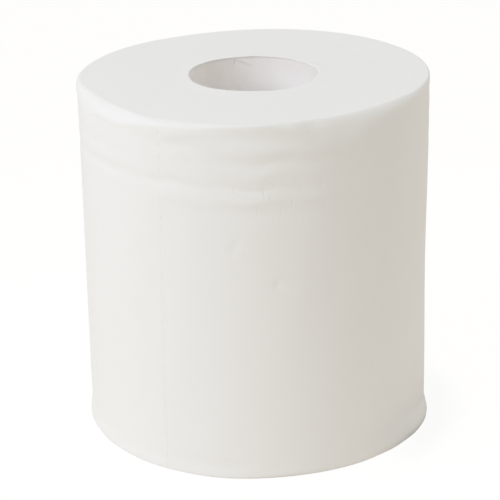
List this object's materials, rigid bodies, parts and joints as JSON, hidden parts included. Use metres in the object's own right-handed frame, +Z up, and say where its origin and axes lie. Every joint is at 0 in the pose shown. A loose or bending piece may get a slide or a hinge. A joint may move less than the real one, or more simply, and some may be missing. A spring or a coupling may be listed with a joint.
{
  "type": "hand towel roll",
  "caption": "Coreless centrefeed hand towel roll: soft white paper wound on itself round an open bore, standing on its end.",
  "frame": {"origin": "centre of the bottom face, on the winding axis", "axes": "+Z up the winding axis, -Y towards the front, +Y towards the web's tail"},
  "size_m": [0.1937, 0.194, 0.2],
  "materials": {
    "tissue": "matte"
  },
  "bodies": {
    "root": {"paper_roll": "tissue"}
  },
  "joints": []
}
